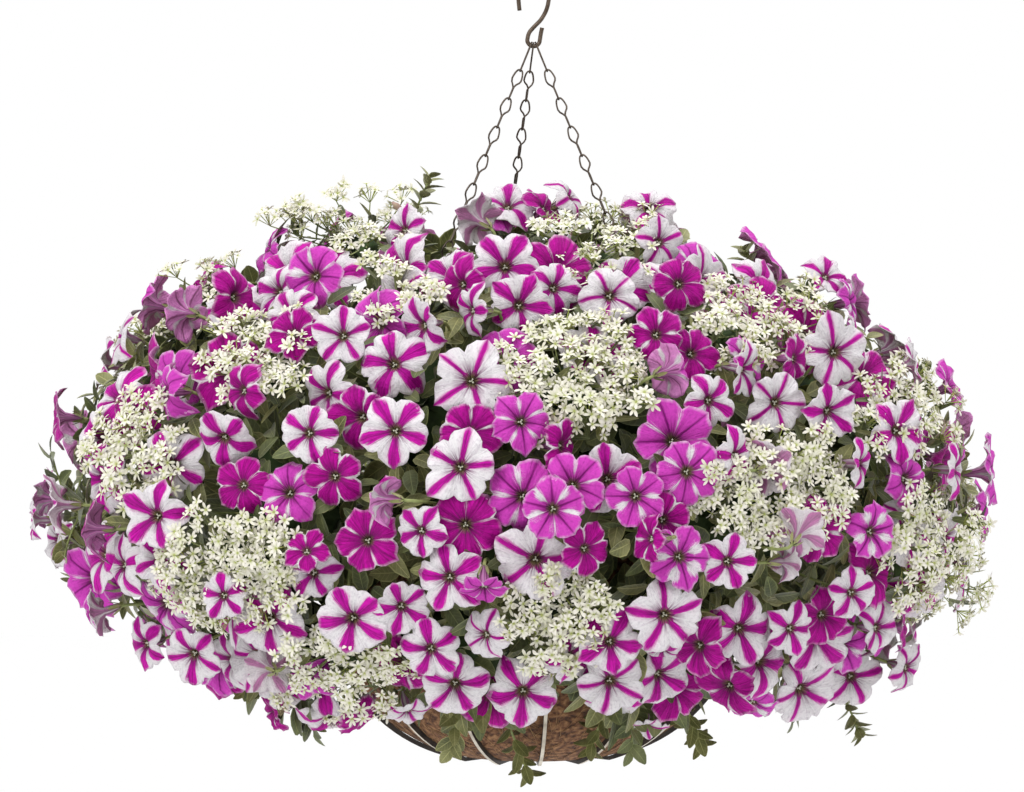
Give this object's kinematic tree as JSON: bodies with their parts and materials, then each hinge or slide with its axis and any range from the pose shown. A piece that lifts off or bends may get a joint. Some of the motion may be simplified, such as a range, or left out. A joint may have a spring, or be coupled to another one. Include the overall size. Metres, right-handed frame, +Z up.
{
  "type": "petunia hanging basket",
  "caption": "Mounded petunia hanging basket: a strap basket with a coco liner, on thin chains and a wire hook, overflowing with striped, white and magenta petunias and sprays of white florets",
  "frame": {"origin": "the seat of the hook: the inner top of its crook, where it rests on whatever holds it", "axes": "+Z up; +X to the viewer's right and +Y away from the viewer, seen from the front as in the picture"},
  "size_m": [0.8684, 0.8188, 0.6992],
  "materials": {
    "hook_wire": "satin",
    "chain_wire": "satin",
    "basket_strap": "satin",
    "coco_fibre": "matte",
    "potting_soil": "matte",
    "petunia": "satin",
    "white_floret": "satin"
  },
  "bodies": {
    "hanger": {"hook": "hook_wire"},
    "basket": {"base_hoop": "basket_strap", "chain_left": "chain_wire", "chain_rear": "chain_wire", "chain_right": "chain_wire", "coco_liner": "coco_fibre", "floret_spray_01": "white_floret", "floret_spray_02": "white_floret", "floret_spray_03": "white_floret", "floret_spray_04": "white_floret", "floret_spray_05": "white_floret", "floret_spray_06": "white_floret", "floret_spray_07": "white_floret", "floret_spray_08": "white_floret", "floret_spray_09": "white_floret", "floret_spray_10": "white_floret", "floret_spray_11": "white_floret", "floret_spray_12": "white_floret", "floret_spray_13": "white_floret", "floret_spray_14": "white_floret", "floret_spray_15": "white_floret", "floret_spray_16": "white_floret", "floret_spray_17": "white_floret", "floret_spray_18": "white_floret", "petunia_01": "petunia", "petunia_02": "petunia", "petunia_03": "petunia", "petunia_04": "petunia", "petunia_05": "petunia", "petunia_06": "petunia", "petunia_07": "petunia", "petunia_08": "petunia", "petunia_09": "petunia", "petunia_10": "petunia", "petunia_11": "petunia", "petunia_12": "petunia", "petunia_13": "petunia", "petunia_14": "petunia", "petunia_15": "petunia", "petunia_16": "petunia", "petunia_17": "petunia", "petunia_18": "petunia", "petunia_19": "petunia", "petunia_20": "petunia", "rib_01": "basket_strap", "rib_02": "basket_strap", "rib_03": "basket_strap", "rib_04": "basket_strap", "rib_05": "basket_strap", "rib_06": "basket_strap", "rib_07": "basket_strap", "rib_08": "basket_strap", "rib_09": "basket_strap", "rib_10": "basket_strap", "rib_11": "basket_strap", "rib_12": "basket_strap", "rib_13": "basket_strap", "rib_14": "basket_strap", "rim_rod": "basket_strap", "soil": "potting_soil"}
  },
  "joints": [
    {"name": "eye_swing", "type": "hinge", "parent": "hanger", "child": "basket", "pos_m": [0, 0, -0.0543], "axis": [0, 1, 0], "range_deg": [-12, 12]}
  ]
}
